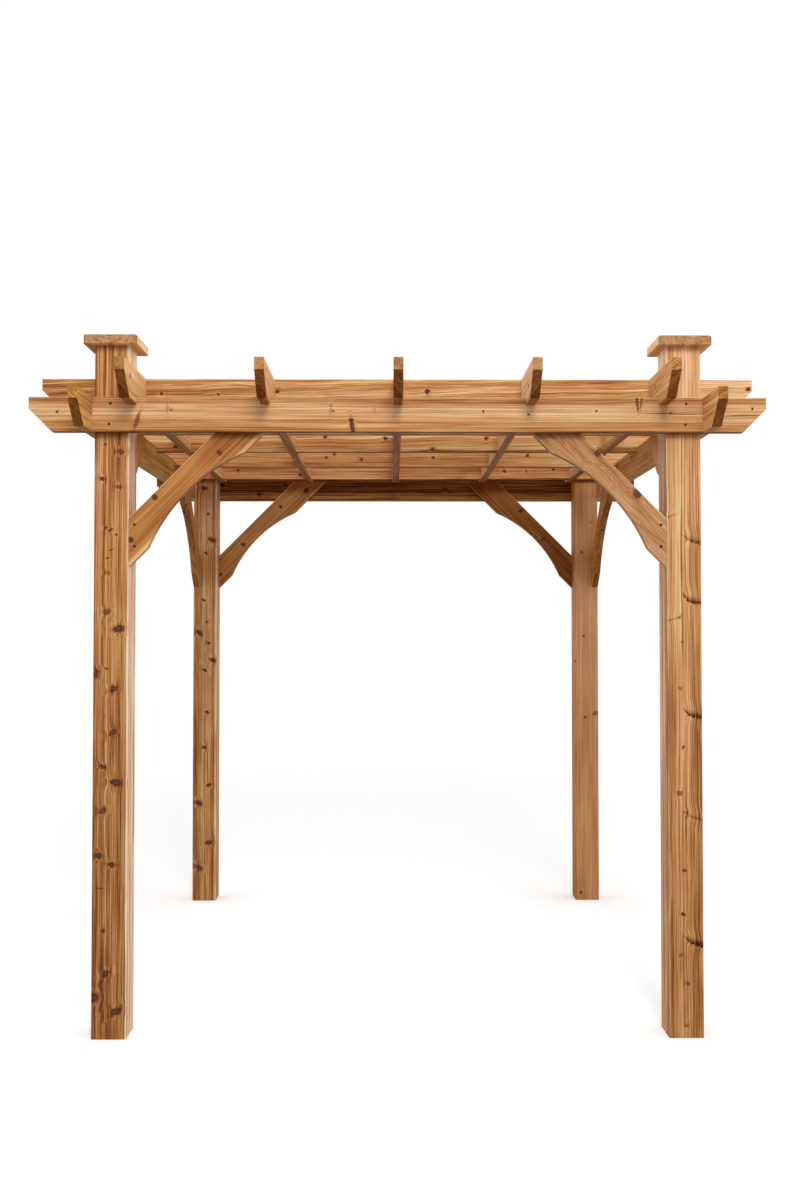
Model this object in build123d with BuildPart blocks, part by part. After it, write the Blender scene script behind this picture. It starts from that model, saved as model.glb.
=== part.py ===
from build123d import *

import os
from math import radians, sqrt, tan

# A free-standing cedar pergola: four posts, a beam on each side, an open lattice of
# rafters and cross boards, a pair of scooped knee braces at every post, and post caps.
# Millimetres. +Z is up, +X is the right-hand side and -Y is the front. The origin is
# on the ground, at the centre of the plan.

INCH = 25.4

# Planed lumber: 6x6 posts, and 2x6 boards that all stand on edge.
post_size = 5.5 * INCH
post_eased_edge = 0.25 * INCH
board_thickness = 1.5 * INCH
board_depth = 5.5 * INCH
eased_edge = 0.125 * INCH

# Plan, measured across the outer faces of the posts.
frame_width = 96.5 * INCH
frame_depth = 96.5 * INCH
overhang = 10.0 * INCH

# Heights above the ground.
beam_underside = 95.5 * INCH
post_height = 109.5 * INCH

# Lattice: how many boards run each way, and how deep they seat over the beams.
rafter_count = 5
cross_board_count = 5
seat_depth = 1.125 * INCH
lap_clearance = 0.5

# Board ends: an upright face, then a bevel down to the underside.
tail_face = 1.875 * INCH
tail_bevel = 45.0

# Knee braces: where the upper edge meets the post, and the scoop in the lower edge.
brace_drop = 13.5 * INCH
scoop_inset = 3.0 * INCH
scoop_depth = 2.1 * INCH

# Post caps.
cap_projection = 1.5 * INCH
cap_thickness = 1.5 * INCH
cap_round = 0.375 * INCH

# What follows from the sizes above.
board_run_x = frame_width + 2 * overhang
board_run_y = frame_depth + 2 * overhang
lattice_underside = beam_underside + board_depth - seat_depth
post_line_x = (frame_width - post_size) / 2
post_line_y = (frame_depth - post_size) / 2
beam_line_x = (frame_width + board_thickness) / 2
beam_line_y = (frame_depth + board_thickness) / 2
lattice_line_x = frame_width / 2 - post_size - board_thickness / 2
lattice_line_y = frame_depth / 2 - post_size - board_thickness / 2
brace_line_x = (frame_width - board_thickness) / 2
brace_line_y = (frame_depth - board_thickness) / 2
tail_rise = board_depth - tail_face
tail_run = tail_rise / tan(radians(tail_bevel))
half_lap = board_depth / 2


def spaced(count, outermost):
    """Board centre lines, evenly spaced from -outermost to +outermost."""
    return [outermost * (2 * index / (count - 1) - 1) for index in range(count)]


def side_view(origin, along):
    """The upright plane whose x runs along a board and whose y is up."""
    return Plane(origin=origin, x_dir=along, z_dir=Vector(*along).cross(Vector(0, 0, 1)))


def save(piece, name):
    """Label one finished piece and write it under the same name."""
    piece.part.label = name
    export_step(piece.part, f"parts/{name}.step")


def make_post(name, x, y):
    """A square post with eased edges, standing on the ground."""
    with BuildPart() as post:
        with BuildSketch(Plane((x, y, 0))):
            RectangleRounded(post_size, post_size, post_eased_edge)
        extrude(amount=post_height)
    save(post, name)


def make_cap(name, x, y):
    """A flat square cap on a post, with its top edges rounded over."""
    cap_size = post_size + 2 * cap_projection
    with BuildPart() as cap:
        with BuildSketch(Plane((x, y, post_height))):
            RectangleRounded(cap_size, cap_size, cap_round)
        extrude(amount=cap_thickness)
        fillet(cap.faces().sort_by(Axis.Z)[-1].edges(), radius=cap_round)
    save(cap, name)


def make_board(name, side, length, laps_above=(), laps_below=(), seats=()):
    """A planed board on edge with bevelled tails and its joints.

    side is the board's side view, with its origin under the middle of the board. The
    half laps open upward at laps_above and downward at laps_below, and the shallow
    seats open downward: each is a list of places along the board.
    """
    section = Plane(origin=side.origin, x_dir=-side.z_dir, z_dir=side.x_dir)
    notch_width = board_thickness + 2 * lap_clearance
    with BuildPart() as board:
        with BuildSketch(section):
            with Locations((0, board_depth / 2)):
                RectangleRounded(board_thickness, board_depth, eased_edge)
        extrude(amount=length / 2, both=True)

        with BuildSketch(side):
            with BuildLine():
                Polyline(
                    (length / 2, 0),
                    (length / 2, tail_rise),
                    (length / 2 - tail_run, 0),
                    close=True,
                )
            make_face()
            mirror(about=Plane.YZ)
            for place in laps_above:
                with Locations((place, board_depth)):
                    Rectangle(notch_width, half_lap, align=(Align.CENTER, Align.MAX))
            for place in laps_below:
                with Locations((place, 0)):
                    Rectangle(notch_width, half_lap, align=(Align.CENTER, Align.MIN))
            for place in seats:
                with Locations((place, 0)):
                    Rectangle(notch_width, seat_depth, align=(Align.CENTER, Align.MIN))
        extrude(amount=board_thickness, both=True, mode=Mode.SUBTRACT)
    save(board, name)


def make_brace(name, side):
    """A knee brace at 45 degrees, cut upright at the post and level under the lattice.

    side has its origin on the post's face at the level of the beam's underside, with x
    running away from the post. The lower edge is scooped between two short straights.
    """
    top = lattice_underside - beam_underside
    lower_drop = brace_drop + sqrt(2) * board_depth
    with BuildPart() as brace:
        with BuildSketch(side):
            with BuildLine():
                SagittaArc(
                    (scoop_inset, scoop_inset - lower_drop),
                    (lower_drop - scoop_inset, -scoop_inset),
                    scoop_depth,
                )
                Polyline(
                    (lower_drop - scoop_inset, -scoop_inset),
                    (lower_drop + top, top),
                    (brace_drop + top, top),
                    (0, -brace_drop),
                    (0, -lower_drop),
                    (scoop_inset, scoop_inset - lower_drop),
                )
            make_face()
        extrude(amount=board_thickness / 2, both=True)

        # The planed edges are eased, and the sawn scoop and end cuts stay square.
        planed = brace.faces().filter_by(Axis(side.origin, side.z_dir)).edges()
        end_cuts = brace.faces().filter_by(Axis(side.origin, side.x_dir)).edges()
        end_cuts += brace.faces().filter_by(Axis.Z).edges()
        fillet(planed.filter_by(GeomType.LINE) - end_cuts, radius=eased_edge)
    save(brace, name)


os.makedirs("parts", exist_ok=True)

sides = {"left": -1, "right": 1}
ends = {"front": -1, "rear": 1}
along_x = (1, 0, 0)
along_y = (0, 1, 0)
rafter_lines = spaced(rafter_count, lattice_line_x)
cross_board_lines = spaced(cross_board_count, lattice_line_y)

for end, toward_y in ends.items():
    for hand, toward_x in sides.items():
        post_x = toward_x * post_line_x
        post_y = toward_y * post_line_y
        make_post(f"post_{end}_{hand}", post_x, post_y)
        make_cap(f"post_cap_{end}_{hand}", post_x, post_y)

        # One brace reaches across to the other hand, and one to the other end.
        post_face_x = toward_x * (frame_width / 2 - post_size)
        post_face_y = toward_y * (frame_depth / 2 - post_size)
        brace_y = toward_y * brace_line_y
        brace_x = toward_x * brace_line_x
        make_brace(
            f"brace_{end}_{hand}",
            side_view((post_face_x, brace_y, beam_underside), (-toward_x, 0, 0)),
        )
        make_brace(
            f"brace_{hand}_{end}",
            side_view((brace_x, post_face_y, beam_underside), (0, -toward_y, 0)),
        )

# The beams cross outside the posts, the side beams lapped down over the other two.
for end, toward_y in ends.items():
    make_board(
        f"beam_{end}",
        side_view((0, toward_y * beam_line_y, beam_underside), along_x),
        board_run_x,
        laps_above=[-beam_line_x, beam_line_x],
    )
for hand, toward_x in sides.items():
    make_board(
        f"beam_{hand}",
        side_view((toward_x * beam_line_x, 0, beam_underside), along_y),
        board_run_y,
        laps_below=[-beam_line_y, beam_line_y],
    )

# The rafters seat on the front and rear beams, and the cross boards lap down over the
# rafters and seat on the side beams, so that the whole lattice is one board deep.
for number, x in enumerate(rafter_lines, start=1):
    make_board(
        f"rafter_{number}",
        side_view((x, 0, lattice_underside), along_y),
        board_run_y,
        laps_above=cross_board_lines,
        seats=[-beam_line_y, beam_line_y],
    )
for number, y in enumerate(cross_board_lines, start=1):
    make_board(
        f"cross_board_{number}",
        side_view((0, y, lattice_underside), along_x),
        board_run_x,
        laps_below=rafter_lines,
        seats=[-beam_line_x, beam_line_x],
    )
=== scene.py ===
"""Dresses the wooden pergola: red cedar boards, bronze screws, a plain studio and the camera."""

import logging
import math
from collections.abc import Callable, Sequence
from dataclasses import dataclass
from enum import Enum
from functools import partial
from typing import Any

import bmesh
import bpy
from bpy.types import Material, Node, NodeSocket, NodeTree, Object, World
from mathutils import Matrix, Vector

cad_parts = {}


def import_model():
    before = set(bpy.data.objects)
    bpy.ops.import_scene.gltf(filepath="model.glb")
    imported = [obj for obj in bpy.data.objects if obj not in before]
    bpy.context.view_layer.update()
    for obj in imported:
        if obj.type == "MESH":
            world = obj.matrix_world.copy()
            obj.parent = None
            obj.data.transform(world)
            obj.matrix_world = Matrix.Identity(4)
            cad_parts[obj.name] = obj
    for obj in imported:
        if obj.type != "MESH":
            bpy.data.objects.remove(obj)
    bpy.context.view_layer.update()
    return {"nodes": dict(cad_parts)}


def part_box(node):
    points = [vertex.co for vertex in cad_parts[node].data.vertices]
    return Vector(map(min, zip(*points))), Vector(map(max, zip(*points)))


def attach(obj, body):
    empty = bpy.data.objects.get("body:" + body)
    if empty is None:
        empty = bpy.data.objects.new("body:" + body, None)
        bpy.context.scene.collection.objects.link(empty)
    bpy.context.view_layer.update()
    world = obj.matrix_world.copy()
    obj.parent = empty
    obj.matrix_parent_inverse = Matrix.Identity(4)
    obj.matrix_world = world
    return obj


log = logging.getLogger("pergola")

MM = 0.001                       # scene lengths are metres, sizes below are millimetres
BODY = "root"

KNOT_SPAN = 40.0                 # mm that a full-scale knot radius stands for in a row of knots
PIN_REACH = 150.0                # mm behind the pith from which a pin knot grows
NOWHERE = 9.0                    # knot radii: further than a knot's mark reaches
SEED_STEP = 7.31                 # years between the grain of one board and the next
WHITE = "#FFFFFF"

Range = tuple[float, float]
Mark = tuple[float, ...]                   # a knot's fields, in order
Feed = float | tuple | Node | NodeSocket   # what a node's socket may be given


# --- small helpers ---

def linear(colour: str) -> tuple[float, float, float, float]:
    """Turns an sRGB hex colour into linear light.

    Args:
        colour: six hex digits after a hash.

    Returns:
        Linear red, green, blue, and 1 for alpha.
    """
    parts = [int(colour[i:i + 2], 16) / 255 for i in (1, 3, 5)]
    red, green, blue = (p / 12.92 if p <= 0.04045 else ((p + 0.055) / 1.055) ** 2.4 for p in parts)
    return red, green, blue, 1.0


def feed(node: Node, inputs: dict | Sequence) -> None:
    """Sets or links a node's inputs.

    Args:
        node: the node.
        inputs: what its sockets get, in order, or by name or number: a value, a socket, or a node, which
            stands for the first output that it has in use.
    """
    for key, value in inputs.items() if isinstance(inputs, dict) else enumerate(inputs):
        if isinstance(value, Node):
            value = next(socket for socket in value.outputs if socket.enabled)
        if isinstance(value, NodeSocket):
            node.id_data.links.new(value, node.inputs[key])
        else:
            node.inputs[key].default_value = value


def add_node(tree: NodeTree, kind: str, inputs: dict | Sequence = (), stops: Sequence[tuple] = (),
             **settings: Any) -> Node:
    """Adds one node with its settings, and sets or links its inputs.

    Args:
        tree: the node tree that gets the node.
        kind: the node's type name without ShaderNode, and after a space its operation or type of data.
        inputs: what its sockets get, as feed takes them.
        stops: a colour ramp's places from 0 to 1 in rising order, each with a colour or a level of grey.
        **settings: the node's other properties.

    Returns:
        The new node.
    """
    kind, _, mode = kind.partition(" ")
    made = tree.nodes.new("ShaderNode" + kind)
    if mode:
        setattr(made, "operation" if hasattr(made, "operation") else "data_type", mode)
    for name, value in settings.items():
        setattr(made, name, value)
    if stops:
        made.color_ramp.elements.remove(made.color_ramp.elements[-1])
    for number, (place, colour) in enumerate(stops):
        stop = made.color_ramp.elements.new(place) if number else made.color_ramp.elements[0]
        stop.position = place
        stop.color = colour if isinstance(colour, tuple) else (colour, colour, colour, 1.0)
    feed(made, inputs)
    return made


def graded(add: Callable[..., Node], value: Feed, steps: Sequence[Range]) -> Node:
    """Adds the nodes that turn a value into a tone, straight from step to step.

    Args:
        add: adds a node.
        value: what the tone follows.
        steps: values in rising order, each with the tone there.

    Returns:
        The node that gives the tone.
    """
    first, last = steps[0][0], steps[-1][0]
    share = add("MapRange", (value, first, last))
    return add("ValToRGB", (share,), [((at - first) / (last - first), tone) for at, tone in steps])


def empty_nodes(data: Material | World) -> Callable[..., Node]:
    """Gives a material or a world a bare node tree.

    Args:
        data: the material or world.

    Returns:
        What adds a node to it.
    """
    data.use_nodes = True
    data.node_tree.nodes.clear()
    return partial(add_node, data.node_tree)


def new_group(name: str, inputs: str, outputs: str) -> tuple:
    """Starts a node group.

    Args:
        name: the group's name.
        inputs: what it takes, such as "Place:Vector Tone", where one of no kind is a number.
        outputs: what it gives, in the same way.

    Returns:
        What adds a node to it, its inputs in order, and the node that its outputs are fed to.
    """
    tree = bpy.data.node_groups.new(name, "ShaderNodeTree")
    for way, labels in (("INPUT", inputs), ("OUTPUT", outputs)):
        for label in labels.split():
            label, _, kind = label.partition(":")
            tree.interface.new_socket(label, in_out=way, socket_type="NodeSocket" + (kind or "Float"))
    given = tree.nodes.new("NodeGroupInput").outputs[:-1]
    return partial(add_node, tree), given, tree.nodes.new("NodeGroupOutput")


def stand(name: str, data: bpy.types.ID) -> Object:
    """Makes an object and puts it in the scene.

    Args:
        name: the object's name.
        data: its mesh, lamp or camera.

    Returns:
        The object.
    """
    made = bpy.data.objects.new(name, data)
    bpy.context.scene.collection.objects.link(made)
    return made


# --- how a board lies, and what its log was like ---

class Lie(Enum):
    """The way a piece of timber runs: its length, then its width."""

    ALONG_X = ((1, 0, 0), (0, 0, 1))
    ALONG_Y = ((0, 1, 0), (0, 0, 1))
    UPRIGHT = ((0, 0, 1), (1, 0, 0))
    FLAT = ((0, 1, 0), (1, 0, 0))
    RISING_RIGHT = ((1, 0, 1), (-1, 0, 1))
    RISING_LEFT = ((-1, 0, 1), (1, 0, 1))
    RISING_REAR = ((0, 1, 1), (0, -1, 1))
    RISING_FRONT = ((0, -1, 1), (0, 1, 1))

    @property
    def length(self) -> Vector:
        """The direction of the grain."""
        return Vector(self.value[0]).normalized()

    @property
    def square(self) -> bool:
        """Whether it runs along one of the scene's axes."""
        return sum(map(abs, self.value[0])) == 1

    @property
    def frame(self) -> Matrix:
        """Turns board directions (length, width, thickness) into scene directions."""
        length, width = self.length, Vector(self.value[1]).normalized()
        return Matrix((length, width, length.cross(width))).transposed().to_4x4()


@dataclass(frozen=True)
class Knot:
    """A branch's mark where it leaves a face of the board, in millimetres of the board's own frame."""

    along: float
    across: float
    radius: float
    depth: float = 1.0           # how dark it is, down to 0 for one that only bends the grain


@dataclass(frozen=True)
class Shake:
    """A thin dark split that follows one growth ring for a while, or an open pith, in millimetres."""

    ring: float | None           # how far out from the ring through the board's middle; None is the pith
    start: float
    end: float
    width: float = 1.2
    blunt: float = 2.0           # the power of its length by which it closes towards its ends
    edge: float = 1.0            # where its dark ends, times its width
    dark: float = 0.9


@dataclass(frozen=True)
class Timber:
    """What one piece of cedar was cut from, and so how its faces look.

    The pith is where the middle of the log was, across and through the board from its own middle. Bands
    give the tone, 0 dark to 1 pale, by place across the show face, and follow the rings elsewhere.
    """

    node: str
    lie: Lie
    pith: Range
    bands: tuple[Range, ...] = ((-80.0, 0.5), (80.0, 0.5))
    knots: tuple[Mark, ...] = ()
    spikes: tuple[Mark, ...] = ()   # branches cut lengthwise, long across the grain
    pins: tuple[Mark, ...] = ()     # small branches that cross the show face squarely
    fans: tuple[Mark, ...] = ()     # branches that lie in the face from the pith out, dark underneath
    shakes: tuple[Shake, ...] = ()
    # painted light and shade along the board: posts darker at the foot and paler at the top as the light
    # falls off, braces darker at both ends with painted shade and dirt, some cross boards darker or paler
    # towards an end
    run: tuple[Range, ...] = ()     # tone gained by place along the board, much of it painted light and shade
    stain: str = WHITE
    lean: Range = (0.0, 0.0)     # degrees between the pith and the board, across and through it
    aspect: float = 1.1          # a knot's size along the grain over its size across it
    figure: float = 1.0          # how much its rings show
    wander: float = 7.0          # mm the rings stray from true circles
    rise: float = 0.0            # how steeply its branches climb
    sapwood: Range = (0.0, 0.0)  # pale wood past this place across, and the tone it adds
    sap_figure: float = 0.0      # how much more its rings show in the sapwood
    show: int = 1                # which face knots are measured on: +1 or -1 through the thickness
    wear_and_highlight: float = 0.25           # painted highlight: tone that the planed-off edges gain, as if they caught the light
    # the colour that multiplies bevelled ends: their end grain, and painted shade, since they face down out
    # of the light
    bevel_grain_and_shade: str = "#A88460"
    tip_stain: str = "#CFC2A8"


# --- cedar ---

@dataclass(frozen=True)
class Cedar:
    """Planed western red cedar, oiled.

    Warm brown heartwood with straw-coloured streaks: growth rings of 2 to 4 mm gather into bands 20 to
    40 mm wide, the latewood a thin darker line. Knots are red-brown cones with a dark rim that push the
    rings aside. Square sawn ends are a little darker, as end grain. Bevelled ends are darker still, partly
    end grain and partly painted shade, since they face down out of the light.
    """

    tones: tuple[str, ...] = ("#3F210D", "#8D5930", "#C18C5C", "#DCB38A", "#F4DDC6")   # dark to pale
    knot_rim: str = "#2C1B14"
    knot_heart: str = "#5C4035"
    knot_halo: str = "#E2C4A6"   # multiplies the wood round a knot
    blush: str = "#FFF5F0"       # multiplies some growth rings pinker
    straw: str = "#FBFDEC"       # and others yellower
    sapwood: str = "#F6F5FF"     # multiplies the sapwood, which is the least yellow
    # width in mm and share of the grain's tone: slow bands of several years' growth, groups of rings, and
    # single rings, which are 2 to 4 mm in the real wood
    rings: tuple[Range, ...] = ((17.0, 0.3), (4.6, 0.45), (1.9, 0.55))
    # width and length in mm, and share: bundles of fibre, drawn coarser than the real 0.3 mm to show,
    # then finer and broader streaks of one colour that come and go along the grain
    streaks: tuple[tuple[float, float, float], ...] = ((1.6, 110.0, 0.26), (3.4, 360.0, 1.15),
                                                       (9.0, 800.0, 0.55))
    drift_size: Range = (95.0, 520.0)   # mm across and along of the waves in which rings wander
    stain_size: Range = (48.0, 420.0)   # and of the cloudy stains
    stain_share: float = 0.4
    hue_width: float = 13.0      # mm of the rings that go pinker or yellower
    hue_shift: float = 31.7      # years that keep them apart from the other rings
    hue_stain: float = 1.2       # how far the stains carry the hue with them
    hue_edge: Range = (0.3, 0.7)
    sap_edge: float = 1.5        # mm over which the sapwood starts, either way
    sap_stray: float = 12.0      # mm that its start strays as the stain does
    climb_scale: float = 60.0    # mm from the pith at which a branch has climbed its rise times this
    climb_bend: float = 0.5      # it climbs by this power of its length, steeply at first
    least_climb: float = 0.6     # mm from the pith within which it climbs no less
    taper: float = 25.0          # mm from the pith at which a branch is full size
    least_knot: float = 0.02     # mm, the thinnest that a branch gets
    most_squat: float = 2.5      # how much wider than long a slanting cut can make a knot
    spike_squat: float = 0.3
    skew: float = 0.55           # how far a branch may lean, up or down for each mm aside
    skew_seed: float = 977.0
    rag: float = 0.8             # knot radii by which its outline strays
    rag_waves: tuple[float, float, float] = (0.13, 0.09, 0.09)   # to the mm
    core_edge: Range = (0.7, 1.1)       # radii over which a knot's dark core ends
    halo_edge: Range = (0.9, 1.7)
    heart_edge: Range = (0.3, 0.95)
    swirl_edge: Range = (0.5, 3.6)      # radii over which the rings that it pushes come back
    swirl: float = 0.42                 # radii that it pushes them
    under_edge: Range = (0.9, -0.8)     # from a branch's top, in radii, to its dark underside
    hard_edge: Range = (0.45, 0.95)     # how far under even a faint knot is dark
    fan_dark: float = -0.6              # tone that a fan's underside gains
    least_split: float = 0.01           # mm, the width of a split where it has closed
    split_core: float = 0.4             # times its width, as far as it is darkest
    highlight_edge: Range = (0.78, 0.95)     # how squarely a surface faces where the painted highlight on an edge ends
    bevel_edge: Range = (0.35, 0.6)     # how far towards the board's end a bevelled cut faces
    tip_edge: Range = (0.8, 0.93)       # and a square one
    roughness: float = 0.62
    fibre_rough: float = 0.35
    knot_rough: float = -0.14
    tone_height: float = 0.35           # mm that pale wood stands above dark
    fibre_height: float = 0.5
    split_height: float = -1.5
    relief: float = 0.35                # share of those heights that shows
    gloss: float = 0.06

    def branch_group(self) -> NodeTree:
        """Makes the group that finds a branch in a row of knots.

        Returns:
            A group that turns a place in the log, and the row's entry there, into the knot's core, its
            halo, how far it pushes the rings out, how many radii away it is and how far under it.
        """
        add, (place, row, start, length, rise, squat), end = new_group(
            "cedar branch", "Place:Vector Row:Color Start Length Rise Squat", "Core Halo Bulge Reach Under")
        station, heading, size = add("SeparateColor", (row,)).outputs
        root = add("Math MULTIPLY_ADD", (station, length, start))
        angle = add("Math MULTIPLY_ADD", (heading, 2 * math.pi, -math.pi))
        turned = add("VectorRotate", {"Vector": place, "Angle": angle}, rotation_type="X_AXIS", invert=True)
        along, out, side = add("SeparateXYZ", (turned,)).outputs
        climb = add("Math MAXIMUM", (out, self.least_climb))
        climb = add("Math POWER", (climb, self.climb_bend))
        climb = add("Math MULTIPLY_ADD", (climb, rise, root))
        up = add("Math SUBTRACT", (along, climb))
        # each branch is a little skewed, its own way
        skew = add("Math MULTIPLY", (station, self.skew_seed))
        skew = add("TexWhiteNoise", {"W": skew}, noise_dimensions="1D")
        skew = add("Math MULTIPLY_ADD", (skew, 2 * self.skew, -self.skew))
        up = add("Math MULTIPLY_ADD", (side, skew, up))
        side = add("Math MULTIPLY", (side, squat))
        away = add("CombineXYZ", (up, side))
        distance = add("VectorMath LENGTH", (away,))
        # a branch is a cone: it starts at the pith and is full size a little way out
        taper = add("MapRange", (out, 0.0, self.taper, 0.0, KNOT_SPAN))
        width = add("Math MULTIPLY", (size, taper))
        width = add("Math MAXIMUM", (width, self.least_knot))
        reach = add("Math DIVIDE", (distance, width))
        torn = add("VectorMath MULTIPLY", (place, self.rag_waves))
        rag = add("TexNoise", {"Vector": torn, "Scale": 1.0, "Detail": 3.0})
        rag = add("Math MULTIPLY_ADD", (rag, 2 * self.rag, -self.rag))
        reach = add("Math ADD", (reach, rag))
        core, halo, swirl = (
            add("MapRange", (reach, *edge, most, 0.0), interpolation_type="SMOOTHSTEP")
            for edge, most in ((self.core_edge, 1.0), (self.halo_edge, 1.0), (self.swirl_edge, self.swirl)))
        bulge = add("Math MULTIPLY", (swirl, width))
        under = add("Math DIVIDE", (up, width))
        under = add("MapRange", (under, *self.under_edge))
        feed(end, (core, halo, bulge, reach, under))
        return end.id_data

    def growth_group(self) -> NodeTree:
        """Makes the group that finds the growth ring at a place in the log.

        Returns:
            A group that gives the ring's distance out from the ring through the board's middle, the
            place aside of the pith, the grain, fibre and stain there, each 0 on average, and the hue.
        """
        add, (place, bulge, pith, wander, seed), end = new_group(
            "cedar growth", "Place:Vector Bulge Pith Wander Seed", "Ring Aside Grain Fibre Stain Hue")
        waves, clouds = (
            add("VectorMath MULTIPLY_ADD", (place, (1 / length, 1 / width, 1 / width), seed))
            for width, length in (self.drift_size, self.stain_size))
        drift = add("TexNoise", {"Vector": waves, "Scale": 1.0, "Detail": 2.0}).outputs["Color"]
        drift = add("VectorMath SUBTRACT", (drift, (0.5, 0.5, 0.5)))
        moved = add("VectorMath MULTIPLY_ADD", (drift, wander, place))
        aside = add("SeparateXYZ", (moved,)).outputs[1]
        flat = add("VectorMath MULTIPLY", (moved, (0.0, 1.0, 1.0)))
        radius = add("VectorMath LENGTH", (flat,))
        pushed = add("Math SUBTRACT", (radius, bulge))
        inward = add("Math DIVIDE", (pushed, radius))
        inward = add("CombineXYZ", (1.0, inward, inward))
        moved = add("VectorMath MULTIPLY", (moved, inward))
        ring = add("Math SUBTRACT", (pushed, pith))
        # every noise is 0.5 on average, which this takes off beforehand
        grain: Feed = -0.5 * sum(share for *_, share in self.rings + self.streaks)
        for width, share in self.rings:
            years = add("Math MULTIPLY_ADD", (ring, 1 / width, seed))
            noise = add("TexNoise", {"W": years, "Scale": 1.0, "Detail": 1.0}, noise_dimensions="1D")
            grain = add("Math MULTIPLY_ADD", (noise, share, grain))
        threads = []
        for width, length, share in self.streaks:
            thread = add("VectorMath MULTIPLY", (moved, (1 / length, 1 / width, 1 / width)))
            threads.append(add("TexNoise", {"Vector": thread, "Scale": 1.0, "Detail": 3.0}))
            grain = add("Math MULTIPLY_ADD", (threads[-1], share, grain))
        fibre = add("Math SUBTRACT", (threads[0], 0.5))
        stain = add("TexNoise", {"Vector": clouds, "Scale": 1.0, "Detail": 3.0})
        stain = add("Math SUBTRACT", (stain, 0.5))
        years = add("Math MULTIPLY_ADD", (ring, 1 / self.hue_width, seed))
        years = add("Math ADD", (years, self.hue_shift))
        hue = add("TexNoise", {"W": years, "Scale": 1.0, "Detail": 2.0}, noise_dimensions="1D")
        hue = add("Math MULTIPLY_ADD", (stain, self.hue_stain, hue))
        hue = add("MapRange", (hue, *self.hue_edge))
        feed(end, (ring, aside, grain, fibre, stain, hue))
        return end.id_data

    def colour_group(self) -> NodeTree:
        """Makes the group that colours a tone of cedar and marks its knots and splits.

        Returns:
            A group that gives colour, roughness and height in millimetres.
        """
        add, (tone, fibre, hue, core, halo, reach, split, oil, cut), end = new_group(
            "cedar colour", "Tone Fibre Hue Core Halo Reach Split Oil:Color Cut:Color",
            "Colour:Color Roughness Height")
        step = 1 / (len(self.tones) - 1)
        colour = add("ValToRGB", (tone,), [(n * step, linear(shade)) for n, shade in enumerate(self.tones)])
        tinge = add("Mix RGBA", {0: hue, 6: linear(self.blush), 7: linear(self.straw)})
        for tint in (tinge, oil):
            colour = add("VectorMath MULTIPLY", (colour, tint))
        colour = add("Mix RGBA", {0: halo, 6: colour, 7: linear(self.knot_halo)}, blend_type="MULTIPLY")
        heart = add("MapRange", (reach, *self.heart_edge))
        inside = add("Mix RGBA", {0: heart, 6: linear(self.knot_heart), 7: linear(self.knot_rim)})
        for share, over in ((core, inside), (split, linear(self.tones[0]))):
            colour = add("Mix RGBA", {0: share, 6: colour, 7: over})
        # the sawn ends' colour, which on bevels is painted shade as well as end grain
        colour = add("VectorMath MULTIPLY", (colour, cut))
        rough: Feed = self.roughness
        for part, share in ((fibre, self.fibre_rough), (core, self.knot_rough)):
            rough = add("Math MULTIPLY_ADD", (part, share, rough))
        height: Feed = 0.0
        for part, share in ((tone, self.tone_height), (fibre, self.fibre_height), (split, self.split_height)):
            height = add("Math MULTIPLY_ADD", (part, share, height))
        feed(end, (colour, rough, height))
        return end.id_data


class Sawmill:
    """What the cedar of every board shares."""

    def __init__(self, cedar: Cedar, nodes: dict[str, Object]) -> None:
        """Makes the groups of nodes for a finish.

        Args:
            cedar: the finish.
            nodes: the frame's boards by name.
        """
        self.nodes = nodes
        self.cedar = cedar
        self.branch = cedar.branch_group()
        self.growth = cedar.growth_group()
        self.colour = cedar.colour_group()


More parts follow.
